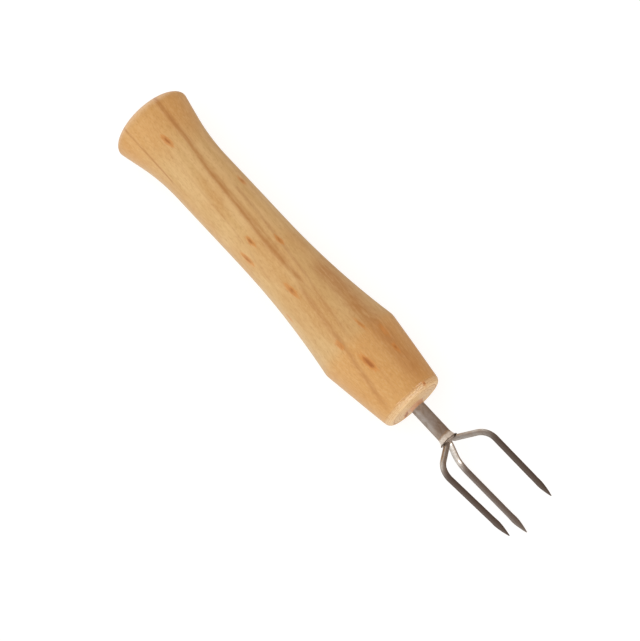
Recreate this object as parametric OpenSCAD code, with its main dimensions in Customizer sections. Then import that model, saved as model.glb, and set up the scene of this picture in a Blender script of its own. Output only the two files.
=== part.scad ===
// Uncapping fork: a turned wooden handle with a glued steel tube, and three bent wire
// prongs brazed into the tube's mouth. The tool lies on its side along X, prongs to +X.
// Lengths are in millimetres. Distances along the tool are measured from the butt.

/* [Handle] */
// Length of the handle, from the butt to the middle of the front face
handle_length = 137.6; // [130:0.2:160]
// Diameter at the ridge near the front, before its edge is softened
ridge_d = 30; // [28:0.5:34]
// Distance of the ridge from the butt
ridge_x = 110; // [100:0.5:115]
// Diameter of the flared butt
butt_d = 29.6; // [27:0.2:30]
// Height of the domed end of the butt
butt_dome = 5.7; // [4:0.1:8]
// Diameter of the small flat left on the butt by the lathe
butt_flat_d = 6; // [3:0.5:8]
// Slope of the flare behind the butt, in degrees
flare_angle = 13; // [12.5:0.1:15]
// Diameter of the waist
waist_d = 22; // [20:0.5:23]
// Distance from the butt to the end of the waist, where the swell starts
swell_x = 62.8; // [50:0.2:75]
// Diameter of the front end
front_d = 23.3; // [18:0.1:25]
// How far the front taper stands proud of a straight cone
taper_bulge = 0.05; // [0:0.05:0.5]
// Rounding of the front edge
front_edge = 2.1; // [1:0.1:2.5]
// Crown of the front face
face_crown = 0.4; // [0.2:0.1:0.8]

/* [Shank] */
// Outer diameter of the tube
tube_d = 5.1; // [5.1:0.1:6]
// Wall of the tube
tube_wall = 0.2; // [0.14:0.02:0.2]
// Length of tube that shows in front of the handle
tube_out = 16.2; // [10:0.1:30]
// Length of tube held in the handle
tube_in = 44; // [25:1:60]
// Radius of the flare at the mouth of the tube, on the inside
mouth_flare_r = 1; // [0.9:0.05:1.1]
// Width of the flat lip outside the flare
lip_width = 0.2; // [0.15:0.05:0.6]
// Thickness of the glue between the tube and the wood
glue_t = 0.1; // [0.05:0.05:0.2]
// Height of the bead of glue that climbs the tube at the front face
bead_height = 1.1; // [0.4:0.1:1.5]
// Width of that bead on the front face, from the bore outwards
bead_width = 0.9; // [0.4:0.1:1.2]

/* [Prongs] */
// Diameter of the wire
wire_d = 2.1; // [1.8:0.1:2.1]
// Radius of the circle that the prongs stand on
prong_circle_r = 11.9; // [10:0.1:14]
// Places of the prongs around the tool, in degrees from +Y towards +Z: right, left, lower
prong_clock = [27, 147, 267]; // [0:1:359]
// Angle at which each wire leaves the tube's axis
prong_splay = [58, 60, 61]; // [45:1:65]
// Angle at which each prong turns in towards the axis
prong_toe = [0.4, 3, 0.8]; // [0:0.2:4]
// Reach of each prong in front of the tube's mouth
prong_reach = [36.9, 37.1, 38.4]; // [30:0.1:50]
// How far inside the mouth the wires start to bend
bend_in = 0.9; // [0.5:0.1:0.9]
// Radius of the bend at the mouth, on the wire's centre
mouth_bend_r = 2; // [2:0.1:3]
// Radius of the outer bend, on the wire's centre
outer_bend_r = 6.8; // [3:0.2:7]
// Sideways lean of all three prongs from the tube's axis, in degrees
head_lean = 1.2; // [0:0.1:2]
// Length of the forged point
point_length = 8; // [4:0.2:9]
// Growth of the wire's radius where the point was forged
point_swell = 0.05; // [0:0.01:0.2]

/* [Braze] */
// Depth of the filler inside the tube
fill_depth = 3.5; // [2:0.5:6]
// Height of the filler over the mouth, on the axis
fill_crown = 0.5; // [0.3:0.1:1]
// Length of the collar of filler behind the flare
collar_length = 1.6; // [1:0.1:4]
// Thickness of the collar where the flare starts
collar_t = 0.35; // [0.2:0.05:0.4]

/* [Hidden] */
$fn = 96;

ridge_r = ridge_d / 2;
butt_r = butt_d / 2;
waist_r = waist_d / 2;
front_r = front_d / 2;
tube_r = tube_d / 2;
tube_bore_r = tube_r - tube_wall;
bore_r = tube_r + glue_t;
wire_r = wire_d / 2;

mouth_x = handle_length + tube_out;
root_x = mouth_x - bend_in;
tube_start = handle_length - tube_in;
bore_end = tube_start - glue_t;

// The wires lie side by side against the tube, a film of filler apart. Each has a short knuckle
// where it starts to bend and takes up the lean of the head. A bend is a hair thicker than the
// straight wire, which laps into it.
film = 0.04;
bundle_r = tube_bore_r - film - wire_r;
bend_wire_r = wire_r + 0.02;
knuckle_r = wire_r + 0.035;
knuckle_back = 0.4;
knuckle_front = 0.15;
lap = 0.2;
wire_in = 14;

// Thickness of the glue and of the filler where they run out on the tube.
feather = 0.04;

// How far out a prong is at its tip, and how far along the whole tool the tip is.
function tip_out(i) = prong_circle_r - (prong_reach[i] - 10) * tan(prong_toe[i]);
function tip_x(i) = root_x + (bend_in + prong_reach[i]) * cos(head_lean)
    - tip_out(i) * cos(prong_clock[i]) * sin(head_lean);
overall_length = max([for (i = [0:2]) tip_x(i)]);

wood = [0.83, 0.64, 0.42];
adhesive = [0.85, 0.78, 0.60];
steel = [0.60, 0.57, 0.54];
dark_steel = [0.46, 0.42, 0.39];
filler = [0.80, 0.76, 0.69];

// Lays a shape that was made around Z down along X, in its place on the table.
module laid() {
    translate([-overall_length / 2, 0, axis_height])
        rotate([0, 90, 0])
            children();
}

// A solid of revolution from an outline of [distance along, radius] points.
module turned(outline) {
    rotate_extrude()
        polygon([for (p = outline) [p[1], p[0]]]);
}

function arc(centre, r, from, to, steps) =
    [for (i = [0:steps]) centre + r * [cos(from + (to - from) * i / steps),
        sin(from + (to - from) * i / steps)]];

// A smooth corner from a to b, with the corner point between them.
function soft_corner(a, corner, b, steps) =
    [for (i = [0:steps]) let (t = i / steps)
        a * (1 - t) * (1 - t) + corner * 2 * t * (1 - t) + b * t * t];

// ---- Handle ----

// The dome is an ellipse, cut flat in the middle of the butt, that runs on past the widest ring
// until it has the flare's slope.
dome_start = asin(butt_flat_d / butt_d);
dome_end = 90 + atan(tan(flare_angle) * butt_dome / butt_r);
function dome_point(a) = [butt_dome * (cos(dome_start) - cos(a)), butt_r * sin(a)];

// The flare is a short cone from the dome, then a hollow curve down to the waist.
flare_start = dome_point(dome_end);
flare_curve_r = 75;
flare_drop = flare_start[1] - waist_r - flare_curve_r * (1 - cos(flare_angle));
waist_x = flare_start[0] + flare_drop / tan(flare_angle) + flare_curve_r * sin(flare_angle);

// The swell is one long arc that leaves the waist smoothly and meets the front taper.
swell_length = ridge_x - swell_x;
swell_height = ridge_r - waist_r;
swell_curve_r = (swell_length * swell_length + swell_height * swell_height) / (2 * swell_height);

ridge_soft = 0.8;
taper_end_x = handle_length - face_crown - front_edge;
function swell_point(x) =
    [x, waist_r + swell_curve_r - sqrt(pow(swell_curve_r, 2) - pow(x - swell_x, 2))];
function taper_point(t) = [
    ridge_x + (taper_end_x - ridge_x) * t,
    ridge_r + (front_r - ridge_r) * t + 4 * taper_bulge * t * (1 - t)];

function dome_outline() =
    [for (i = [0:16]) dome_point(dome_start + (dome_end - dome_start) * i / 16)];
function flare_outline() =
    arc([waist_x, waist_r + flare_curve_r], flare_curve_r, -90 - flare_angle, -90, 8);
function swell_outline() =
    [for (i = [0:14]) swell_point(swell_x + (swell_length - ridge_soft) * i / 14)];
function ridge_outline() =
    soft_corner(swell_point(ridge_x - ridge_soft), [ridge_x, ridge_r],
        taper_point(ridge_soft / (taper_end_x - ridge_x)), 4);

// The tool rests on its ridge, or on its butt if that is wider.
axis_height = max([for (p = concat(ridge_outline(), [[0, butt_r]])) p[1]]);

function taper_outline() = [for (i = [1:8]) taper_point(0.06 + 0.94 * i / 8)];
function front_outline() =
    arc([taper_end_x, front_r - front_edge], front_edge, 78, 8, 6);

// The face is crowned, with points where the glue bead and the bore meet it.
face_r = front_r - front_edge;
bead_r = bore_r + bead_width;
function face_point(r) = [handle_length - face_crown * pow(r / face_r, 2), r];
function face_outline() = concat(
    [for (share = [0.8, 0.55, 0.3, 0]) face_point(bead_r + share * (face_r - bead_r))],
    [face_point(bore_r)]);

module handle() {
    color(wood)
    laid()
    difference() {
        turned(concat([[0, 0]], dome_outline(), flare_outline(), swell_outline(),
            ridge_outline(), taper_outline(), front_outline(), face_outline(),
            [[handle_length, 0]]));
        translate([0, 0, bore_end])
            cylinder(h = handle_length, r = bore_r);
    }
}

// ---- Shank ----

// The glue fills the gap around the tube and the bottom of the bore, and a hollow bead of it
// runs from the front face up the tube.
bead_top = [handle_length + bead_height, tube_r + feather];

module glue_line() {
    color(adhesive)
    laid()
    difference() {
        turned(concat(
            [[bore_end, 0], [bore_end, bore_r], face_point(bore_r)],
            soft_corner(face_point(bead_r), [handle_length + 0.1, bore_r], bead_top, 6),
            [[bead_top[0], 0]]));
        translate([0, 0, tube_start])
            cylinder(h = handle_length, r = tube_r);
    }
}

// The wall keeps its thickness around the flare and out to the rounded edge of the lip.
flare_centre = [mouth_x - mouth_flare_r, tube_bore_r + mouth_flare_r];
flare_back_r = mouth_flare_r - tube_wall;
flare_steps = 8;

module shank_tube() {
    color(steel)
    laid()
    turned(concat(
        [[tube_start, tube_bore_r], [tube_start, tube_r]],
        arc(flare_centre, flare_back_r, -90, 0, flare_steps),
        arc([mouth_x - tube_wall / 2, flare_centre[1] + lip_width - tube_wall / 2],
            tube_wall / 2, 180, 0, 8),
        arc(flare_centre, mouth_flare_r, 0, -90, flare_steps)));
}

// ---- Prongs ----

// A straight stretch of wire from a point, in the direction of an angle, with a lap at each end.
module wire(from, angle, length) {
    translate([from[0], from[1], 0])
        rotate([0, 0, angle])
            rotate([0, 90, 0])
                translate([0, 0, -lap])
                    cylinder(h = length + 2 * lap, r = wire_r);
}

module bend(centre, r, from, angle) {
    translate([centre[0], centre[1], 0])
        rotate([0, 0, from])
            rotate_extrude(angle = angle)
                translate([r, 0])
                    circle(r = bend_wire_r);
}

// A prong swells a little where its point was forged, then tapers to a slightly blunt end.
blunt_r = 0.16;
swell_share = 0.3;
function prong_outline(straight) = concat(
    [[-lap, 0], [-lap, wire_r], [straight, wire_r]],
    [for (i = [1:5]) let (t = i / 5)
        [straight + point_length * swell_share * t,
            wire_r + point_swell * (1 - cos(180 * t)) / 2]],
    [for (i = [1:7]) let (t = i / 8)
        [straight + point_length * (swell_share + (1 - swell_share) * t),
            blunt_r + (wire_r + point_swell - blunt_r) * (1 - pow(t, 1.5))]],
    [[straight + point_length - 0.08, blunt_r],
        [straight + point_length, blunt_r * 0.5],
        [straight + point_length, 0]]);

// Turns a prong's own frame, X along the tool and Y outwards, to its place around the root.
module at_clock(i, lean) {
    translate([root_x - overall_length / 2, 0, axis_height])
        rotate([0, 0, lean])
            rotate([prong_clock[i], 0, 0])
                children();
}

// The end held in the tube, the knuckle and the first bend.
module prong_root(i) {
    at_clock(i, 0)
        wire([-wire_in, bundle_r], 0, wire_in - 2 * lap);
    at_clock(i, 0)
        translate([-knuckle_back, bundle_r, 0])
            rotate([0, 90, 0])
                cylinder(h = knuckle_back + knuckle_front, r = knuckle_r);
    at_clock(i, head_lean)
        bend([0, bundle_r + mouth_bend_r], mouth_bend_r, -90, prong_splay[i]);
}

// The splayed stretch runs from the first bend out to the second.
function splay_start(i) = [
    mouth_bend_r * sin(prong_splay[i]),
    bundle_r + mouth_bend_r * (1 - cos(prong_splay[i]))];
function splay_run(i) =
    (prong_circle_r - outer_bend_r * (1 - cos(prong_splay[i])) - splay_start(i)[1])
        / sin(prong_splay[i]);

module splayed_wire(i) {
    at_clock(i, head_lean)
        wire(splay_start(i), prong_splay[i], splay_run(i));
}

// The outer bend and the straight prong with its point.
module prong_arm(i) {
    splay = prong_splay[i];
    toe = prong_toe[i];
    outer_start = splay_start(i) + splay_run(i) * [cos(splay), sin(splay)];
    outer_centre = outer_start + outer_bend_r * [sin(splay), -cos(splay)];
    outer_end = outer_centre + outer_bend_r * [sin(toe), cos(toe)];
    straight = (bend_in + prong_reach[i] - outer_end[0]) / cos(toe) - point_length;

    bend(outer_centre, outer_bend_r, 90 - toe, splay + toe);
    translate([outer_end[0], outer_end[1], 0])
        rotate([0, 0, -toe])
            rotate([0, 90, 0])
                turned(prong_outline(straight));
}

module prong(i) {
    color(dark_steel)
    union() {
        prong_root(i);
        splayed_wire(i);
        at_clock(i, head_lean)
            prong_arm(i);
    }
}

module prong_right() { prong(0); }
module prong_left() { prong(1); }
module prong_lower() { prong(2); }

// ---- Braze ----

// The filler plugs the mouth around the wires, out to the edge of the flare, and stands a
// little proud of it.

module braze_fill() {
    color(filler)
    difference() {
        laid()
        turned(concat(
            [[mouth_x - fill_depth, 0], [mouth_x - fill_depth, tube_bore_r]],
            arc(flare_centre, mouth_flare_r, -90, 0, flare_steps),
            [for (i = [1:6]) let (u = 1 - i / 6)
                [mouth_x + fill_crown * (1 - u * u), flare_centre[1] * u]]));
        for (i = [0:2]) {
            prong_root(i);
            splayed_wire(i);
        }
    }
}

// The collar runs out to nothing along the tube and fills part of the hollow behind the flare.
collar_steps = 5;

module braze_collar() {
    back = flare_centre[0];
    color(filler)
    laid()
    turned(concat(
        [[back - collar_length, tube_r]],
        [for (i = [0:8]) let (t = i / 8)
            [back - collar_length * (1 - t), tube_r + feather + (collar_t - feather) * t * t]],
        arc(flare_centre, flare_back_r, 90 * collar_steps / flare_steps - 90, -90,
            collar_steps)));
}

handle();
glue_line();
shank_tube();
prong_right();
prong_left();
prong_lower();
braze_fill();
braze_collar();
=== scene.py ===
import math

import bpy
import numpy as np
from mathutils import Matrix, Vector, noise


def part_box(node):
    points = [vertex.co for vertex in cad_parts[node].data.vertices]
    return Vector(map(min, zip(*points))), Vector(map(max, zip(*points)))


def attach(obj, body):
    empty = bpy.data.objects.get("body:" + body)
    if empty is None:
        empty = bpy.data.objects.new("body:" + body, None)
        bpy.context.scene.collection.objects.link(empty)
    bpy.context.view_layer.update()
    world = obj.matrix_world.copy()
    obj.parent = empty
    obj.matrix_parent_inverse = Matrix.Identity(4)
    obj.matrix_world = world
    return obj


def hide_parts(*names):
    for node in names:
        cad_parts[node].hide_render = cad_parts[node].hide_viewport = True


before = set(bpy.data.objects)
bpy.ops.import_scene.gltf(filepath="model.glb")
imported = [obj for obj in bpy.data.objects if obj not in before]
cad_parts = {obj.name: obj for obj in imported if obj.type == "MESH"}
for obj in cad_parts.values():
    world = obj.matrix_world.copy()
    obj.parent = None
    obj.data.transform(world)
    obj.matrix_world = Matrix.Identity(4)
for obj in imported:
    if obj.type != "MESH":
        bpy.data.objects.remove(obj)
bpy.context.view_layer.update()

MM = 0.001

# Places along the tool, from the frame.
BUTT_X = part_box("handle")[0].x
FACE_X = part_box("handle")[1].x
MOUTH_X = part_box("shank_tube")[1].x
AXIS_Z = (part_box("shank_tube")[0].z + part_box("shank_tube")[1].z) / 2
BORE_END_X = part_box("glue_line")[0].x
HANDLE_MM = (FACE_X - BUTT_X) / MM
MOUTH_MM = (MOUTH_X - BUTT_X) / MM

# The prongs, in millimetres and degrees, as the CAD part has them.
PRONGS = {
    "prong_right": {"clock": 27, "splay": 58, "toe": 0.4, "reach": 36.9},
    "prong_left": {"clock": 147, "splay": 60, "toe": 3, "reach": 37.1},
    "prong_lower": {"clock": 267, "splay": 61, "toe": 0.8, "reach": 38.4},
}
WIRE_R = 1.05
BUNDLE_R = 1.26
WIRE_IN = 14.0
BEND_IN = 0.9
MOUTH_BEND_R = 2.0
OUTER_BEND_R = 6.8
PRONG_CIRCLE_R = 11.9
HEAD_LEAN = 1.2
POINT_LENGTH = 8.0
POINT_TAPER = 0.7 * POINT_LENGTH
POINT_SWELL = 0.05
TIP_R = 0.16
BORE_R = 2.65

# Marks of hand work on the wires, in mm: the point's ground flats, and shallow dents.
FLAT_DEPTH = 0.05
FLAT_FROM_TIP = 5.0
FLAT_LENGTH = 3.0
DENT_DEPTH = 0.012


# ---- Meshes ----


def make_piece(name, vertices, faces, material, replaced):
    """A smooth-shaded piece that stands for CAD nodes, with its points given in metres."""
    mesh = bpy.data.meshes.new(name)
    mesh.from_pydata([tuple(v) for v in vertices], [], faces)
    mesh.validate()
    mesh.polygons.foreach_set("use_smooth", [True] * len(mesh.polygons))
    piece = bpy.data.objects.new(name, mesh)
    bpy.context.scene.collection.objects.link(piece)
    mesh.materials.append(material)
    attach(piece, "root")
    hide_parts(*replaced)
    return piece


def grid_faces(rows, columns):
    """Quads between successive closed rings, with a fan to one centre point at each end."""
    faces = []
    for row in range(rows - 1):
        for column in range(columns):
            a = row * columns + column
            b = row * columns + (column + 1) % columns
            faces.append((a, b, b + columns, a + columns))
    start, end = rows * columns, rows * columns + 1
    last = (rows - 1) * columns
    for column in range(columns):
        after = (column + 1) % columns
        faces.append((start, after, column))
        faces.append((last + column, last + after, end))
    return faces


# ---- Handle ----

# The handle's mesh: points around it, and the spacing along its outline in mm.
AROUND = 200
SIDE_STEP = 0.45
FACE_STEP = 0.09
FACE_ZONE = 3.0
BORE_RINGS = 30

# Unevenness that sanding leaves, in mm, and the radius within which the glue covers the face.
BROAD_WOBBLE = 0.05
FINE_WOBBLE = 0.012
GLUED_R = 3.05

# Depth in mm at which a turned ring's painted shade is at full strength.
FULL_GROOVE = 0.1


def cad_outline():
    """The handle's outer outline, as (distance from the butt, radius) in mm, from butt to bore."""
    rings = {}
    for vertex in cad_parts["handle"].data.vertices:
        radius = math.hypot(vertex.co.y, vertex.co.z - AXIS_Z) / MM
        if radius > BORE_R - 0.01:
            key = (round((vertex.co.x - BUTT_X) / MM, 2), round(radius, 2))
            rings[key] = True
    outer = [(x, r) for x, r in rings if r > BORE_R + 0.1 or x > HANDLE_MM - 0.5]
    middle = HANDLE_MM / 2
    outer.sort(key=lambda point: math.atan2(point[1], middle - point[0]))
    spaced = outer[:1]
    for point in outer[1:]:
        if math.dist(point, spaced[-1]) > 0.08:
            spaced.append(point)
    return spaced


def resampled(points, step_of):
    """Points along an open outline at a spacing that may change, rounded over its small corners."""
    points = np.array(points)
    along = np.concatenate([[0], np.cumsum(np.hypot(*np.diff(points, axis=0).T))])
    fine = np.arange(0, along[-1], 0.05)
    path = np.stack([np.interp(fine, along, points[:, i]) for i in range(2)], axis=1)
    kernel = np.hanning(19)
    kernel /= kernel.sum()
    padded = np.concatenate([
        2 * path[0] - path[9:0:-1],
        path,
        2 * path[-1] - path[-2:-11:-1],
    ])
    path = np.stack([np.convolve(padded[:, i], kernel, "valid") for i in range(2)], axis=1)
    kept, place = [], 0.0
    for i, point in enumerate(path):
        if fine[i] >= place:
            kept.append(point)
            place = fine[i] + step_of(point)
    kept.append(points[-1])
    return np.array(kept)


# Fine rings that the turning tool left on the front face: radius, width and depth in mm.
FACE_RINGS = [
    (9.3, 0.18, 0.14),
    (8.2, 0.14, 0.05),
    (7.2, 0.16, 0.08),
    (6.2, 0.14, 0.04),
    (5.2, 0.16, 0.07),
]

# Rings cut around the front edge: distance from the butt, width and depth in mm.
EDGE_RINGS = [
    (HANDLE_MM - 2.5, 0.16, 0.09),
    (HANDLE_MM - 2.0, 0.13, 0.06),
    (HANDLE_MM - 1.5, 0.16, 0.10),
    (HANDLE_MM - 1.0, 0.12, 0.09),
]


def ring_depth(x, r):
    """Depth of the face's rings, which are cut along the tool."""
    if x < HANDLE_MM - 0.8:
        return 0.0
    return sum(depth * math.exp(-(((r - at) / width) ** 2)) for at, width, depth in FACE_RINGS)


def edge_depth(x):
    """Depth of the rings around the edge, which are cut towards the axis."""
    return sum(depth * math.exp(-(((x - at) / width) ** 2)) for at, width, depth in EDGE_RINGS)


def turned_wobble(x, angle):
    """How far sanding left the surface out of round at a place."""
    around = Vector((math.cos(angle), math.sin(angle), 0)) * 1.3
    broad = noise.noise(Vector((x * 0.05, 0, 0)) + around)
    fine = noise.noise(Vector((x * 0.35, 7, 0)) + around * 3)
    return BROAD_WOBBLE * broad + FINE_WOBBLE * fine


def handle_points():
    """Rings of points around the handle and down its bore, and the place of each on the handle."""
    outline = resampled(
        cad_outline(), lambda p: FACE_STEP if p[0] > HANDLE_MM - FACE_ZONE else SIDE_STEP)
    bore_xs = np.linspace(outline[-1][0] - 0.4, (BORE_END_X - BUTT_X) / MM, BORE_RINGS)
    points = []
    places = []
    for x, r in list(outline) + [(x, BORE_R) for x in bore_xs]:
        inside = r < BORE_R + 0.05
        edge = 0 if inside else edge_depth(x)
        depth = 0 if inside else ring_depth(x, r)
        # How deep the place lies in the rings, for their painted shade.
        groove = 0 if inside else depth + edge * 0.5
        for k in range(AROUND):
            angle = 2 * math.pi * k / AROUND
            radius = r
            if not inside and r >= GLUED_R:
                radius = r + turned_wobble(x, angle) * min(1, r / 8)
            radius -= edge
            points.append((x - depth, radius * math.cos(angle), radius * math.sin(angle)))
            places.append((x, math.degrees(angle), r, groove))
    rows = len(points) // AROUND
    points.append((0.0, 0.0, 0.0))
    points.append((bore_xs[-1], 0.0, 0.0))
    places += [(0.0, 0.0, 0.0, 0.0), (bore_xs[-1], 0.0, 0.0, 0.0)]
    world = np.array(points) * MM + np.array([BUTT_X, 0, AXIS_Z])
    return world, grid_faces(rows, AROUND), np.array(places)


# The figure of the wood. Layers run almost flat through the handle: a place in a layer is given
# by its distance from the butt and its offset from the axis, across the layers, in mm.
ACROSS_Y = 0.983
ACROSS_Z = 0.184

# Dark layers: the line each follows as (distance, offset) points, its half-width and its strength.
DARK_LAYERS_AND_SHADE = [
    ([(0, 6.6), (21, 5.0), (34, 3.1), (44, 2.4), (56, 1.5), (66, 0.7), (90, 0.2)], 0.75, 0.85),
    ([(30, 4.2), (44, 3.3), (60, 2.5), (80, 1.2)], 0.45, 0.50),
    ([(38, 6.4), (55, 5.6), (68, 4.3), (81, 3.1), (94, 0.9), (112, -1.0)], 0.50, 0.50),
    ([(80, -0.6), (98, -2.8), (109, -4.0), (119, -5.6), (129, -7.1), (137, -8.0)], 0.85, 0.62),
    ([(0, -8.0), (17, -8.25), (34, -8.6)], 0.26, 0.90),
    ([(16, -2.6), (51, -4.0), (83, -8.1)], 0.45, 0.25),
    ([(66, 1.3), (87, 0.7), (100, -0.6)], 0.40, 0.35),
    ([(112, 9.6), (137, 7.6)], 0.45, 0.25),
    ([(100, 2.2), (137, -2.4)], 0.35, 0.20),
    # The last, wide band is painted shade along the handle's darker +Y side, not a layer in the wood.
    ([(78, 8.2), (96, 8.6), (112, 8.8), (138, 7.8)], 3.2, 0.75),
]

# Flecks: distance, clock angle, half-length, half-width and strength. They lie a little aslant.
FLECK_SLANT = 0.06
FLECKS = [
    (16.8, 102, 3.0, 0.95, 0.95),
    (42.8, 47, 2.4, 1.00, 0.75),
    (67.3, 77, 2.4, 0.85, 0.80),
    (61.2, 116, 2.3, 0.80, 0.95),
    (64.3, 145, 3.2, 0.95, 0.90),
    (82.9, 121, 3.6, 1.00, 0.85),
    (88.0, 164, 2.4, 0.80, 0.60),
    (107.6, 81, 3.2, 0.60, 0.75),
    (108.0, 120, 2.4, 1.05, 0.75),
    (113.8, 61, 3.6, 1.50, 0.45),
    (120.8, 64, 2.0, 0.85, 0.85),
    (118.9, 108, 3.6, 1.10, 1.15),
    (135.7, 64, 0.9, 0.60, 1.00),
]


def layer_and_shade_darkness(x, y, z):
    """How dark the dark layers and the band of painted shade are at each place, from 0 to 1."""
    across = y * ACROSS_Y + z * ACROSS_Z
    dark = np.zeros_like(x)
    for line, half_width, strength in DARK_LAYERS_AND_SHADE:
        line = np.array(line, float)
        centre = np.interp(x, line[:, 0], line[:, 1])
        fade = np.clip((line[-1, 0] - x) / 10, 0, 1)
        if line[0, 0] > 0:
            fade = fade * np.clip((x - line[0, 0]) / 6, 0, 1)
        dark = np.maximum(dark, strength * fade * np.exp(-(((across - centre) / half_width) ** 2)))
    return dark


# How many flecks are scattered over the other sides, and the seed that places them.
SCATTERED_FLECKS = 16
FLECK_SEED = 5

# The fleck on the front face: its place from the axis and half-sizes in y and z, and strength.
FACE_FLECK_PLACE = (-3.9, -3.0)
FACE_FLECK_SIZE = (0.85, 4.6)
FACE_FLECK_STRENGTH = 1.4


def random_flecks(count, seed):
    """Flecks on the sides that the listed ones don't reach."""
    spread = np.random.default_rng(seed)
    return [
        (spread.uniform(8, 130), spread.uniform(175, 385), spread.uniform(1.2, 2.8),
         spread.uniform(0.4, 0.8), spread.uniform(0.4, 0.9))
        for _ in range(count)
    ]


def fleck_darkness(x, clock, r):
    """How dark the flecks are at each place on the surface."""
    dark = np.zeros_like(x)
    flecks = FLECKS + random_flecks(SCATTERED_FLECKS, FLECK_SEED)
    for at, angle, half_length, half_width, strength in flecks:
        turn = (clock - angle + 180) % 360 - 180
        across = np.radians(turn) * r + FLECK_SLANT * (x - at)
        away = ((x - at) / half_length) ** 2 + (across / half_width) ** 2
        dark = np.maximum(dark, strength * np.exp(-away))
    return dark


def face_fleck_darkness(x, y, z):
    """How dark the one fleck on the front face is at each place."""
    (y_at, z_at), (half_y, half_z) = FACE_FLECK_PLACE, FACE_FLECK_SIZE
    away = ((y - y_at) / half_y) ** 2 + ((z - z_at) / half_z) ** 2
    return np.where(x > HANDLE_MM - 1.5, FACE_FLECK_STRENGTH * np.exp(-away), 0.0)


def paint(piece, name, values):
    """Stores one value per point, for the material to use."""
    attribute = piece.data.attributes.new(name, "FLOAT", "POINT")
    attribute.data.foreach_set("value", np.asarray(values, np.float32))


def build_handle(material):
    """The turned handle, with the figure of its wood, a band of painted shade and the painted shade of
    its rings stored on its points.
    """
    vertices, faces, places = handle_points()
    piece = make_piece("turned_handle", vertices, faces, material, ["handle"])
    x, y, z = ((vertices - np.array([BUTT_X, 0, AXIS_Z])) / MM).T
    along, clock, radius, groove = places.T
    # The layers attribute also carries the band of painted shade.
    paint(piece, "layers", layer_and_shade_darkness(x, y, z))
    flecks = fleck_darkness(along, clock, radius)
    paint(piece, "flecks", np.maximum(flecks, face_fleck_darkness(x, y, z)))
    paint(piece, "groove_shade", np.clip(groove / FULL_GROOVE, 0, 1))
    return piece


# ---- Prongs ----


def prong_path(splay, toe, reach, step=0.25):
    """One wire's centre line as (along the tool, out from the axis) points from its root, in mm."""
    splay, toe = math.radians(splay), math.radians(toe)
    points = [(x, BUNDLE_R) for x in np.arange(-WIRE_IN, 0, step)]

    def turn(start, radius, first, last, side):
        centre = (
            start[0] - side * radius * math.sin(first),
            start[1] + side * radius * math.cos(first),
        )
        count = max(8, int(abs(last - first) * radius / step))
        return [
            (centre[0] + side * radius * math.sin(a), centre[1] - side * radius * math.cos(a))
            for a in np.linspace(first, last, count)
        ]

    def straight(start, angle, length):
        count = max(2, int(length / step))
        return [
            (start[0] + t * math.cos(angle), start[1] + t * math.sin(angle))
            for t in np.linspace(0, length, count)[1:]
        ]

    points += turn((0, BUNDLE_R), MOUTH_BEND_R, 0, splay, 1)
    rise = PRONG_CIRCLE_R - OUTER_BEND_R * (1 - math.cos(splay)) - points[-1][1]
    points += straight(points[-1], splay, rise / math.sin(splay))
    points += turn(points[-1], OUTER_BEND_R, splay, -toe, -1)[1:]
    points += straight(points[-1], -toe, (BEND_IN + reach - points[-1][0]) / math.cos(toe))
    return np.array(points)


def placed(path, clock):
    """The path in the tool's frame in mm: turned to its clock angle, and leaning past the mouth."""
    clock, lean = math.radians(clock), math.radians(HEAD_LEAN)
    flat = np.stack([path[:, 0], path[:, 1] * math.cos(clock), path[:, 1] * math.sin(clock)], axis=1)
    turned = flat.copy()
    turned[:, 0] = flat[:, 0] * math.cos(lean) - flat[:, 1] * math.sin(lean)
    turned[:, 1] = flat[:, 0] * math.sin(lean) + flat[:, 1] * math.cos(lean)
    share = np.clip((flat[:, 0] + 1) / 1.5, 0, 1)[:, None]
    return flat * (1 - share) + turned * share


def wire_radius(left):
    """Radius of the wire at a distance from its tip, in mm."""
    if left >= POINT_LENGTH:
        return WIRE_R
    if left >= POINT_TAPER:
        t = (POINT_LENGTH - left) / (POINT_LENGTH - POINT_TAPER)
        return WIRE_R + POINT_SWELL * (1 - math.cos(math.pi * t)) / 2
    t = 1 - left / POINT_TAPER
    return TIP_R + (WIRE_R + POINT_SWELL - TIP_R) * (1 - t ** 1.5)


def sweep_wire(path, clock, seed, around=28):
    """Rings around the centre line, with the point's ground flats and small dents."""
    forward = np.gradient(path, axis=0)
    forward /= np.linalg.norm(forward, axis=1)[:, None]
    outward = np.array([0, math.cos(math.radians(clock)), math.sin(math.radians(clock))])
    lengths = np.concatenate([[0], np.cumsum(np.linalg.norm(np.diff(path, axis=0), axis=1))])
    rings = []
    for centre, ahead, along in zip(path, forward, lengths):
        left = lengths[-1] - along
        up = outward - ahead * np.dot(outward, ahead)
        up /= np.linalg.norm(up)
        side = np.cross(ahead, up)
        radius = wire_radius(left)
        flat = FLAT_DEPTH * math.exp(-(((left - FLAT_FROM_TIP) / FLAT_LENGTH) ** 2))
        for k in range(around):
            angle = 2 * math.pi * k / around
            out, across = math.cos(angle), math.sin(angle)
            dent = DENT_DEPTH * noise.noise(Vector((along * 0.9, out * 1.4 + seed, across * 1.4)))
            rings.append(
                centre
                + up * (radius * (1 - flat) + dent) * out
                + side * (radius * (1 + flat * 0.8) + dent) * across
            )
    rows = len(path)
    ends = [path[0], path[-1] + forward[-1] * 0.06]
    return np.array(rings + ends), grid_faces(rows, around)


def build_prong(name, facts, seed, material):
    """One prong as a swept wire, from its hidden root in the tube to its point."""
    path = placed(prong_path(facts["splay"], facts["toe"], facts["reach"]), facts["clock"])
    points, faces = sweep_wire(path, facts["clock"], seed)
    world = points * MM + np.array([MOUTH_X - BEND_IN * MM, 0, AXIS_Z])
    return make_piece(name + "_wire", world, faces, material, [name])


# ---- Braze ----

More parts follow.
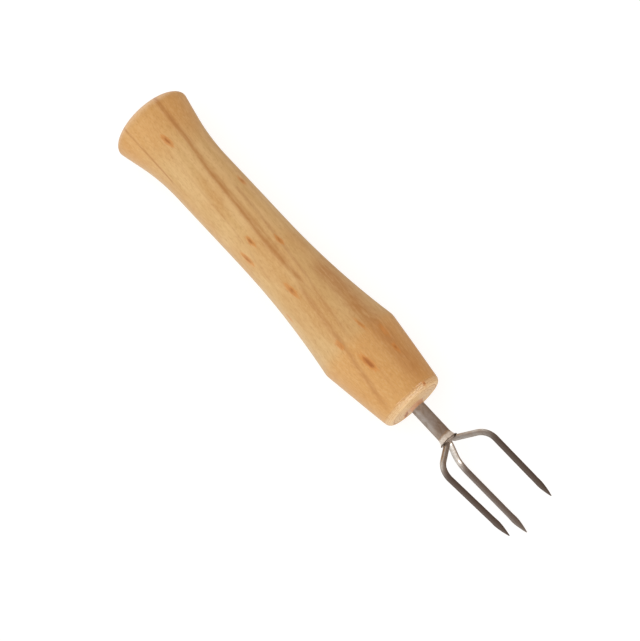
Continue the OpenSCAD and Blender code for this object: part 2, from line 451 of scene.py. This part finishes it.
# Outline of the filler as (distance from the mouth, radius) in mm: a collar on the tube, then
# the hollow of the flare and a low dome over the mouth.
FILLER_OUTLINE = [
    (-2.75, 2.45), (-2.6, 2.57), (-2.2, 2.63), (-1.6, 2.72), (-1.0, 2.86), (-0.5, 3.02),
    (-0.2, 3.20), (-0.02, 3.28), (0.08, 3.1), (0.18, 2.4), (0.27, 1.3), (0.3, 0.6),
]
# Filler that ran over the lip: clock angle, half-width around and height, in degrees and mm.
LAPS = [(200, 22, 0.22), (325, 16, 0.18)]
# Filler that climbed the wires, in mm: its thickness at the root, and its reach.
FILLET_HEIGHT = 0.28
FILLET_REACH = 1.3
# Unevenness of the filler's skin and of its back edge, in mm.
FILLER_WAVE = 0.05
FILLER_CREEP = 0.35
FILLER_VOXEL = 0.085


def filler_body(around=160):
    """The collar and dome, with a wavy back edge and thicker places where it ran."""
    points = []
    for x, r in FILLER_OUTLINE:
        for k in range(around):
            degrees = 360 * k / around
            angle = math.radians(degrees)
            place = Vector((math.cos(angle) * 1.2, math.sin(angle) * 1.2, x * 0.5))
            wave = noise.noise(place * 1.3) * FILLER_WAVE
            creep = noise.noise(place + Vector((9, 0, 0))) * FILLER_CREEP if x < -2 else 0.0
            lap = sum(
                height * math.exp(-((((degrees - at + 180) % 360 - 180) / half) ** 2))
                for at, half, height in LAPS
            )
            over_lip = math.exp(-(((x + 0.1) / 0.75) ** 2))
            radius = r + wave + lap * over_lip
            points.append((x + creep, radius * math.cos(angle), radius * math.sin(angle)))
    rows = len(FILLER_OUTLINE)
    points += [(FILLER_OUTLINE[0][0], 0.0, 0.0), (FILLER_OUTLINE[-1][0] + 0.02, 0.0, 0.0)]
    return np.array(points), grid_faces(rows, around)


def wire_fillet(facts, around=24):
    """Filler that climbed a little way up one wire."""
    path = placed(prong_path(facts["splay"], facts["toe"], facts["reach"], 0.12), facts["clock"])
    lengths = np.concatenate([[0], np.cumsum(np.linalg.norm(np.diff(path, axis=0), axis=1))])
    along = lengths - WIRE_IN
    keep = (along > -0.6) & (along < 2.2)
    forward = np.gradient(path, axis=0)
    forward /= np.linalg.norm(forward, axis=1)[:, None]
    root = np.array([BEND_IN, 0, 0])
    rings = []
    for centre, ahead, t in zip(path[keep], forward[keep], along[keep]):
        up = Vector(tuple(ahead)).orthogonal().normalized()
        side = Vector(tuple(ahead)).cross(up)
        radius = WIRE_R - 0.08 + FILLET_HEIGHT * math.exp(-((max(t, 0) / FILLET_REACH) ** 2))
        for k in range(around):
            angle = 2 * math.pi * k / around
            offset = up * math.cos(angle) + side * math.sin(angle)
            rings.append(centre - root + radius * np.array(offset))
    rows = len(rings) // around
    ends = [path[keep][0] - root, path[keep][-1] - root]
    return np.array(rings + ends), grid_faces(rows, around)


def build_filler(material):
    """Collar, dome and fillets, fused into one skin and softened."""
    parts = [filler_body()] + [wire_fillet(facts) for facts in PRONGS.values()]
    points, faces = [], []
    for part_points, part_faces in parts:
        faces += [tuple(i + len(points) for i in face) for face in part_faces]
        points += list(part_points)
    world = np.array(points) * MM + np.array([MOUTH_X, 0, AXIS_Z])
    piece = make_piece(
        "braze_filler", world, faces, material, ["braze_fill", "braze_collar"])
    remesh = piece.modifiers.new("fuse", "REMESH")
    remesh.mode = "VOXEL"
    remesh.voxel_size = FILLER_VOXEL * MM
    remesh.use_smooth_shade = True
    smooth = piece.modifiers.new("soften", "SMOOTH")
    smooth.factor = 0.6
    smooth.iterations = 8
    return piece


# ---- Material tools ----


def add_node(tree, kind, inputs=None, **settings):
    """A node with its settings, and its inputs set to values or linked from sockets."""
    made = tree.nodes.new(kind)
    for key, value in settings.items():
        setattr(made, key, value)
    for key, value in (inputs or {}).items():
        if isinstance(value, bpy.types.NodeSocket):
            tree.links.new(value, made.inputs[key])
        else:
            made.inputs[key].default_value = value
    return made


def calc(tree, operation, a, b):
    """The result of one maths node on two numbers or sockets."""
    return add_node(tree, "ShaderNodeMath", {0: a, 1: b}, operation=operation).outputs[0]


def add(tree, a, b):
    return calc(tree, "ADD", a, b)


def times(tree, a, b):
    return calc(tree, "MULTIPLY", a, b)


def blend_colour(tree, share, a, b):
    """Colour a, going over to colour b by that share."""
    made = add_node(tree, "ShaderNodeMix", {0: share, 6: a, 7: b}, data_type="RGBA")
    return made.outputs[2]


def between(tree, value, low, high, to_low=0.0, to_high=1.0):
    """Goes smoothly from to_low to to_high as the value goes from low to high."""
    inputs = {
        "Value": value, "From Min": low, "From Max": high, "To Min": to_low, "To Max": to_high,
    }
    return add_node(tree, "ShaderNodeMapRange", inputs, interpolation_type="SMOOTHSTEP").outputs[0]


def cloud(tree, vector, scale, detail=3.0, roughness=0.5, distortion=0.0):
    """Noise from about 0.25 to 0.75."""
    inputs = {
        "Vector": vector, "Scale": scale, "Detail": detail, "Roughness": roughness,
        "Distortion": distortion,
    }
    return add_node(tree, "ShaderNodeTexNoise", inputs).outputs["Fac"]


def stretched(tree, vector, x, y, z):
    """The vector with each axis scaled, so that noise on it is drawn out along some axes."""
    inputs = {0: vector, 1: (x, y, z)}
    return add_node(tree, "ShaderNodeVectorMath", inputs, operation="MULTIPLY").outputs[0]


def millimetres(tree):
    """Place on the tool in mm, from the middle of the butt."""
    coordinates = add_node(tree, "ShaderNodeTexCoord").outputs["Object"]
    inputs = {0: coordinates, 1: (BUTT_X, 0, AXIS_Z)}
    moved = add_node(tree, "ShaderNodeVectorMath", inputs, operation="SUBTRACT").outputs[0]
    inputs = {0: moved, "Scale": 1 / MM}
    return add_node(tree, "ShaderNodeVectorMath", inputs, operation="SCALE").outputs[0]


def attribute(tree, name):
    """A value that was painted on the points."""
    return add_node(tree, "ShaderNodeAttribute", attribute_name=name).outputs["Fac"]


def rgb(red, green, blue):
    """A linear colour from screen values of 0 to 255."""
    def linear(c):
        c /= 255
        return c / 12.92 if c <= 0.04045 else ((c + 0.055) / 1.055) ** 2.4
    return (linear(red), linear(green), linear(blue), 1.0)


def new_material(name):
    """A material with its node tree and its main shader."""
    material = bpy.data.materials.new(name)
    material.use_nodes = True
    tree = material.node_tree
    shader = tree.nodes["Principled BSDF"]
    return material, tree, shader


def connect(tree, shader, **sockets):
    """Links node outputs to the shader's sockets, whose names are given with underscores."""
    for key, value in sockets.items():
        tree.links.new(value, shader.inputs[key.replace("_", " ")])


def bump(tree, height, strength, distance):
    """Fine relief, with its depth in mm."""
    inputs = {"Height": height, "Strength": strength, "Distance": distance * MM}
    return add_node(tree, "ShaderNodeBump", inputs).outputs[0]


# ---- Materials ----

WOOD = {
    "light": rgb(218, 184, 130),
    "middle": rgb(207, 170, 113),
    "warm": rgb(200, 152, 92),
    # amber: painted shade for the flare and the front taper.
    "amber": rgb(208, 149, 76),
    # end: paler end grain, also a painted highlight along the front edge.
    "end": rgb(238, 212, 168),
    "fibre": rgb(184, 136, 80),
    "dash": rgb(172, 120, 68),
    "layer": rgb(168, 106, 50),
    "halo": rgb(206, 134, 60),
    "fleck": rgb(152, 80, 26),
}

# Noise in the wood: how often it changes per mm along the tool, across the layers and in a
# layer, then its detail and roughness.
GRAIN = {
    "fibres": ((0.16, 2.6, 1.6), 4.0, 0.62),
    "streaks": ((0.03, 0.45, 0.25), 3.0, 0.55),
    "patches": ((0.05, 0.12, 0.11), 3.0, 0.5),
    "mottle": ((0.55, 1.5, 1.5), 4.0, 0.65),
    "dashes": ((0.8, 5.0, 3.0), 2.0, 0.5),
    "breaks": ((0.2, 1.2, 0.9), 3.0, 0.5),
    "ragged": ((0.5, 2.2, 2.2), 3.0, 0.5),
}


def wood_grain(tree, place):
    """The noises of GRAIN, laid along layers that drift across the handle."""
    x, y, z = add_node(tree, "ShaderNodeSeparateXYZ", {0: place}).outputs
    across = add(tree, times(tree, y, ACROSS_Y), times(tree, z, ACROSS_Z))
    depth = calc(tree, "SUBTRACT", times(tree, z, ACROSS_Y), times(tree, y, ACROSS_Z))
    warp = cloud(tree, stretched(tree, place, 0.02, 0.07, 0.05), 1.0, 2.0)
    drift = add(tree, times(tree, x, 0.07), times(tree, warp, 3.0))
    inputs = {0: x, 1: add(tree, across, drift), 2: depth}
    in_layers = add_node(tree, "ShaderNodeCombineXYZ", inputs).outputs[0]
    return {
        name: cloud(tree, stretched(tree, in_layers, *scale), 1.0, detail, roughness)
        for name, (scale, detail, roughness) in GRAIN.items()
    }


def wood_material():
    """Pale hardwood under clear varnish, with layers and flecks, paler where cut across. Painted light:
    a highlight on the front edge, and shade in the rings, on one side and towards both ends.
    """
    material, tree, shader = new_material("varnished_wood")
    place = millimetres(tree)
    x = add_node(tree, "ShaderNodeSeparateXYZ", {0: place}).outputs[0]
    grain = wood_grain(tree, place)
    fibres, mottle, dashes = grain["fibres"], grain["mottle"], grain["dashes"]

    # Broad colour, warmer in patches, and more amber towards both ends as painted shade on the flare
    # and the front taper.
    streaks = between(tree, grain["streaks"], 0.32, 0.68)
    colour = blend_colour(tree, streaks, WOOD["middle"], WOOD["light"])
    patches = between(tree, grain["patches"], 0.42, 0.66, 0, 0.55)
    colour = blend_colour(tree, patches, colour, WOOD["warm"])
    ends = add(tree, between(tree, x, 24, 8, 0, 0.5), between(tree, x, 106, 113, 0, 0.6))
    colour = blend_colour(tree, ends, colour, WOOD["amber"])

    # The front edge and face, where the wood is cut across: paler end grain, also a painted highlight
    # along the edge.
    front = between(tree, x, HANDLE_MM - 3.1, HANDLE_MM - 1.5, 0, 0.7)
    end_grain_and_highlight = times(tree, front, between(tree, mottle, 0.30, 0.60, 0.62, 1.0))
    colour = blend_colour(tree, end_grain_and_highlight, colour, WOOD["end"])

    # Fine grain.
    colour = blend_colour(tree, between(tree, fibres, 0.42, 0.75, 0, 0.20), colour, WOOD["fibre"])
    colour = blend_colour(tree, between(tree, mottle, 0.50, 0.70, 0, 0.42), colour, WOOD["light"])
    colour = blend_colour(tree, between(tree, mottle, 0.50, 0.32, 0, 0.36), colour, WOOD["fibre"])
    colour = blend_colour(tree, between(tree, dashes, 0.60, 0.75, 0, 0.34), colour, WOOD["dash"])

    # Dark layers with a band of painted shade on one side, flecks with an orange halo, and painted
    # shade in the turned rings.
    broken = times(
        tree, attribute(tree, "layers"), between(tree, grain["breaks"], 0.25, 0.6, 0.45, 1.0))
    colour = blend_colour(tree, times(tree, broken, 0.80), colour, WOOD["layer"])
    ragged = calc(tree, "SUBTRACT", grain["ragged"], 0.5)
    torn = add(tree, attribute(tree, "flecks"), times(tree, ragged, 0.8))
    colour = blend_colour(tree, between(tree, torn, 0.12, 0.55, 0, 0.6), colour, WOOD["halo"])
    colour = blend_colour(tree, between(tree, torn, 0.45, 1.05, 0, 0.75), colour, WOOD["fleck"])
    # Painted shade in the turned rings, darker the deeper they are cut.
    groove_shade = times(tree, attribute(tree, "groove_shade"), 0.6)
    colour = blend_colour(tree, groove_shade, colour, WOOD["layer"])

    rough = between(tree, fibres, 0.3, 0.7, 0.42, 0.52)
    pores = add(tree, times(tree, fibres, 0.6), times(tree, dashes, 0.4))
    relief = bump(tree, pores, 0.16, 0.06)
    connect(tree, shader, Base_Color=colour, Roughness=rough, Normal=relief)
    shader.inputs["Specular IOR Level"].default_value = 0.2
    shader.inputs["Coat Weight"].default_value = 0.4
    shader.inputs["Coat Roughness"].default_value = 0.1
    shader.inputs["Coat IOR"].default_value = 1.5
    return material


METAL = {
    "tube": rgb(186, 178, 172),
    "stain": rgb(160, 146, 134),
    "heat": rgb(158, 134, 112),
    "braze": rgb(226, 217, 207),
    "braze_dark": rgb(210, 200, 188),
    # lip: painted shade at the tube's rim.
    "lip": rgb(112, 98, 88),
    "speck": rgb(104, 88, 74),
    "wire": rgb(178, 172, 166),
    # The lower prong's two colours are lighter copies of wire and dull: painted reflection of the floor
    # below it.
    "wire_lower_painted_reflection": rgb(232, 228, 222),
    "dull": rgb(119, 107, 100),
    "dull_lower_painted_light": rgb(146, 135, 128),
}
# How the metals' reflections are tinted at glancing angles.
TUBE_TINT = (0.62, 0.58, 0.55, 1)
PRONG_TINT = (0.45, 0.42, 0.40, 1)


def metal_base(tree, place):
    """Noise that the tube and wires share: draw lines along the tool, soft stains and specks."""
    draw_lines = cloud(tree, stretched(tree, place, 0.15, 9.0, 9.0), 1.0, 4.0, 0.6)
    stains = cloud(tree, stretched(tree, place, 0.35, 0.6, 0.6), 1.0, 3.0, 0.6, 0.4)
    specks = cloud(tree, stretched(tree, place, 3.0, 5.0, 5.0), 1.0, 3.0, 0.6)
    return draw_lines, stains, specks


def tube_material():
    """Drawn stainless tube, browned a little by the brazing heat, with painted shade on its lip."""
    material, tree, shader = new_material("drawn_tube")
    place = millimetres(tree)
    x = add_node(tree, "ShaderNodeSeparateXYZ", {0: place}).outputs[0]
    draw_lines, stains, specks = metal_base(tree, place)
    wavy_x = add(tree, x, times(tree, stains, 3.0))
    heat = between(tree, wavy_x, MOUTH_MM - 8, MOUTH_MM - 1.5)
    # The dark lip is painted shade at the rim.
    lip = between(tree, x, MOUTH_MM - 0.55, MOUTH_MM - 0.25)
    colour = blend_colour(tree, between(tree, stains, 0.40, 0.70), METAL["tube"], METAL["stain"])
    colour = blend_colour(tree, times(tree, heat, 0.5), colour, METAL["heat"])
    colour = blend_colour(tree, lip, colour, METAL["lip"])
    colour = blend_colour(tree, between(tree, specks, 0.55, 0.75, 0, 0.35), colour, METAL["speck"])
    scored = between(tree, draw_lines, 0.3, 0.7, 0.36, 0.46)
    rough = add(tree, scored, between(tree, stains, 0.4, 0.7, 0.0, 0.08))
    relief = bump(tree, draw_lines, 0.15, 0.01)
    connect(tree, shader, Base_Color=colour, Roughness=rough, Normal=relief)
    shader.inputs["Metallic"].default_value = 1.0
    shader.inputs["Specular Tint"].default_value = TUBE_TINT
    return material


def prong_material(name, bright_colour, dull_colour):
    """Stainless wire: lighter near the braze, darker further out."""
    material, tree, shader = new_material(name)
    place = millimetres(tree)
    x = add_node(tree, "ShaderNodeSeparateXYZ", {0: place}).outputs[0]
    draw_lines, stains, specks = metal_base(tree, place)
    wavy_x = add(tree, x, times(tree, stains, 4.0))
    dull = between(tree, wavy_x, MOUTH_MM + 7, MOUTH_MM + 13)
    stained = between(tree, stains, 0.40, 0.70, 0, 0.4)
    bright = blend_colour(tree, stained, bright_colour, METAL["heat"])
    colour = blend_colour(tree, dull, bright, dull_colour)
    colour = blend_colour(tree, between(tree, specks, 0.50, 0.75, 0, 0.28), colour, METAL["speck"])
    worn = between(tree, dull, 0, 1, 0.30, 0.50)
    rough = add(tree, worn, between(tree, specks, 0.4, 0.7, 0, 0.1))
    relief = bump(tree, add(tree, draw_lines, times(tree, specks, 0.6)), 0.25, 0.012)
    connect(tree, shader, Base_Color=colour, Roughness=rough, Normal=relief)
    shader.inputs["Metallic"].default_value = 1.0
    shader.inputs["Specular Tint"].default_value = PRONG_TINT
    return material


def braze_material():
    """Cleaned silver braze: pale on the collar, running out to steel at the back and the lip."""
    material, tree, shader = new_material("silver_braze")
    place = millimetres(tree)
    x = add_node(tree, "ShaderNodeSeparateXYZ", {0: place}).outputs[0]
    lumps = cloud(tree, place, 1.2, 3.0)
    grain = cloud(tree, place, 6.0, 3.0)
    specks = cloud(tree, place, 2.6, 4.0, 0.6)
    wavy_x = add(tree, x, times(tree, calc(tree, "SUBTRACT", lumps, 0.5), 1.2))
    back = between(tree, wavy_x, MOUTH_MM - 1.6, MOUTH_MM - 2.4)
    lip = between(tree, wavy_x, MOUTH_MM - 0.5, MOUTH_MM - 0.1)
    pale = between(tree, lumps, 0.35, 0.65)
    colour = blend_colour(tree, pale, METAL["braze"], METAL["braze_dark"])
    colour = blend_colour(tree, back, colour, METAL["heat"])
    colour = blend_colour(tree, lip, colour, METAL["stain"])
    colour = blend_colour(tree, between(tree, specks, 0.58, 0.72, 0, 0.4), colour, METAL["speck"])
    rough = between(tree, grain, 0.3, 0.7, 0.40, 0.58)
    relief = bump(tree, grain, 0.25, 0.03)
    connect(tree, shader, Base_Color=colour, Roughness=rough, Normal=relief)
    shader.inputs["Metallic"].default_value = 0.4
    return material


GLUE = {"pale": rgb(214, 174, 142), "brown": rgb(184, 134, 96)}


def glue_material():
    """Clouded amber adhesive."""
    material, tree, shader = new_material("amber_glue")
    place = millimetres(tree)
    clouding = cloud(tree, place, 0.8, 2.0)
    colour = blend_colour(tree, clouding, GLUE["pale"], GLUE["brown"])
    connect(tree, shader, Base_Color=colour)
    shader.inputs["Roughness"].default_value = 0.32
    return material


def dress(node, material):
    """Gives a CAD node that stays in view its material."""
    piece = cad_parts[node]
    for slot in piece.material_slots:
        slot.material = material


# ---- Stage, camera and light ----

CAMERA_AZIMUTH = 48.0
CAMERA_ELEVATION = 74.4
CAMERA_DISTANCE = 1.0
VIEW_WIDTH = 0.21367
SENSOR = 36.0
AIM = Vector((-1.40 * MM, -3.96 * MM, 14.2 * MM))


def toward(azimuth, elevation):
    """The direction from the tool to a place at that azimuth and elevation, in degrees."""
    a, e = math.radians(azimuth), math.radians(elevation)
    return Vector((math.sin(a) * math.cos(e), -math.cos(a) * math.cos(e), math.sin(e)))


def add_camera():
    """A camera far enough away to give the flat look of a long lens."""
    camera = bpy.data.objects.new("camera", bpy.data.cameras.new("camera"))
    bpy.context.scene.collection.objects.link(camera)
    back = toward(CAMERA_AZIMUTH, CAMERA_ELEVATION)
    camera.location = AIM + back * CAMERA_DISTANCE
    camera.rotation_mode = "QUATERNION"
    camera.rotation_quaternion = (-back).to_track_quat("-Z", "Y")
    camera.data.sensor_width = SENSOR
    camera.data.lens = SENSOR * CAMERA_DISTANCE / VIEW_WIDTH
    camera.data.clip_start, camera.data.clip_end = 0.01, 20.0
    bpy.context.scene.camera = camera


def add_softbox(name, azimuth, elevation, distance, width, height, power, colour, glossy):
    """A large unseen lamp, in metres and watts, that makes either reflections or diffuse light."""
    lamp = bpy.data.lights.new(name, "AREA")
    lamp.shape = "RECTANGLE"
    lamp.size, lamp.size_y = width, height
    lamp.energy = power
    lamp.color = colour
    box = bpy.data.objects.new(name, lamp)
    bpy.context.scene.collection.objects.link(box)
    direction = toward(azimuth, elevation)
    box.location = direction * distance
    box.rotation_mode = "QUATERNION"
    box.rotation_quaternion = direction.to_track_quat("Z", "Y")
    box.visible_camera = False
    box.visible_glossy = glossy
    box.visible_diffuse = not glossy
    return box


def light_only(name, lamps, pieces):
    """Lets these lamps shine on these pieces alone."""
    lit = bpy.data.collections.new(name)
    for piece in pieces:
        lit.objects.link(piece)
    for lamp in lamps:
        lamp.light_linking.receiver_collection = lit


# Half the floor's width in metres, its grey, and how strongly it glows.
FLOOR_HALF = 3.0
FLOOR_GREY = (0.30, 0.30, 0.30, 1)
FLOOR_GLOW = 0.80


def add_floor():
    """A plain pale sweep, lit mostly from below as on a light table, too matt to be reflected."""
    mesh = bpy.data.meshes.new("floor")
    corners = [(-1, -1), (1, -1), (1, 1), (-1, 1)]
    mesh.from_pydata([(x * FLOOR_HALF, y * FLOOR_HALF, 0) for x, y in corners], [], [(0, 1, 2, 3)])
    floor = bpy.data.objects.new("floor", mesh)
    bpy.context.scene.collection.objects.link(floor)
    material, tree, shader = new_material("pale_floor")
    shader.inputs["Base Color"].default_value = FLOOR_GREY
    shader.inputs["Roughness"].default_value = 0.9
    shader.inputs["Specular IOR Level"].default_value = 0.1
    shader.inputs["Emission Color"].default_value = (1, 1, 1, 1)
    shader.inputs["Emission Strength"].default_value = FLOOR_GLOW
    mesh.materials.append(material)
    floor.visible_glossy = False


# Colours of the room: left and right of the tool, above, behind and ahead of it, and where the
# camera sees the room past the floor.
ROOM = {
    "left": (0.92, 0.90, 0.88, 1),
    "right": (0.44, 0.34, 0.27, 1),
    "top": (0.55, 0.47, 0.42, 1),
    "behind": (1.35, 1.3, 1.25, 1),
    "ahead": (1.3, 1.25, 1.2, 1),
    "backdrop": (0.90, 0.89, 0.87, 1),
}


def add_world():
    """A soft room: bright behind and ahead of the tool, brown at its right, dim above, pale if seen."""
    world = bpy.data.worlds.new("room")
    bpy.context.scene.world = world
    world.use_nodes = True
    tree = world.node_tree
    direction = add_node(tree, "ShaderNodeTexCoord").outputs["Generated"]
    x, y, z = add_node(tree, "ShaderNodeSeparateXYZ", {0: direction}).outputs
    colour = blend_colour(tree, between(tree, y, -0.6, 0.6), ROOM["left"], ROOM["right"])
    colour = blend_colour(tree, between(tree, z, 0.30, 0.95), colour, ROOM["top"])
    behind = times(tree, between(tree, x, -0.45, -0.85), between(tree, z, 0.75, 0.35))
    colour = blend_colour(tree, behind, colour, ROOM["behind"])
    ahead = times(tree, between(tree, x, 0.75, 0.92), between(tree, z, 0.55, 0.35))
    colour = blend_colour(tree, ahead, colour, ROOM["ahead"])
    seen = add_node(tree, "ShaderNodeLightPath").outputs["Is Camera Ray"]
    colour = blend_colour(tree, seen, colour, ROOM["backdrop"])
    tree.links.new(colour, tree.nodes["Background"].inputs["Color"])
    tree.nodes["Background"].inputs["Strength"].default_value = 1.0


def set_colours():
    """Screen colours as they are, without a film look."""
    bpy.context.scene.view_settings.view_transform = "Standard"
    bpy.context.scene.view_settings.look = "None"


KEY_WHITE = (1.0, 0.985, 0.96)
WINDOW_WHITE = (1.0, 0.98, 0.96)
FILL_WHITE = (1.0, 0.97, 0.93)
WINDOW_AZIMUTHS = (58, 96, 134)

add_camera()
add_floor()
add_world()
# Each lamp: azimuth, elevation, distance, width, height and power.
add_softbox("key", -20, 72, 1.3, 0.9, 0.7, 4.6, KEY_WHITE, glossy=False)
add_softbox("fill", 90, 25, 1.2, 0.6, 0.4, 2.4, FILL_WHITE, glossy=False)
glint = add_softbox("glint", 96, 12, 1.2, 1.1, 0.36, 4.5, WINDOW_WHITE, glossy=True)
windows = [
    add_softbox(f"window_{azimuth}", azimuth, 32, 1.0, 0.62, 0.30, 5.0, WINDOW_WHITE, glossy=True)
    for azimuth in WINDOW_AZIMUTHS
]
set_colours()

wood = wood_material()
wire = prong_material("prong_wire", METAL["wire"], METAL["dull"])
# The lower prong takes lighter copies of the wire colours, a painted reflection of the floor below it.
lower_wire_painted_light = prong_material("prong_wire_lower", METAL["wire_lower_painted_reflection"], METAL["dull_lower_painted_light"])
handle = build_handle(wood)
metal_pieces = [
    build_prong(name, facts, seed * 10, lower_wire_painted_light if name == "prong_lower" else wire)
    for seed, (name, facts) in enumerate(PRONGS.items())
]
dress("shank_tube", tube_material())
dress("glue_line", glue_material())
metal_pieces.append(build_filler(braze_material()))
light_only("varnished", windows, [handle])
light_only("metal", [glint], metal_pieces + [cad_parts["shank_tube"]])
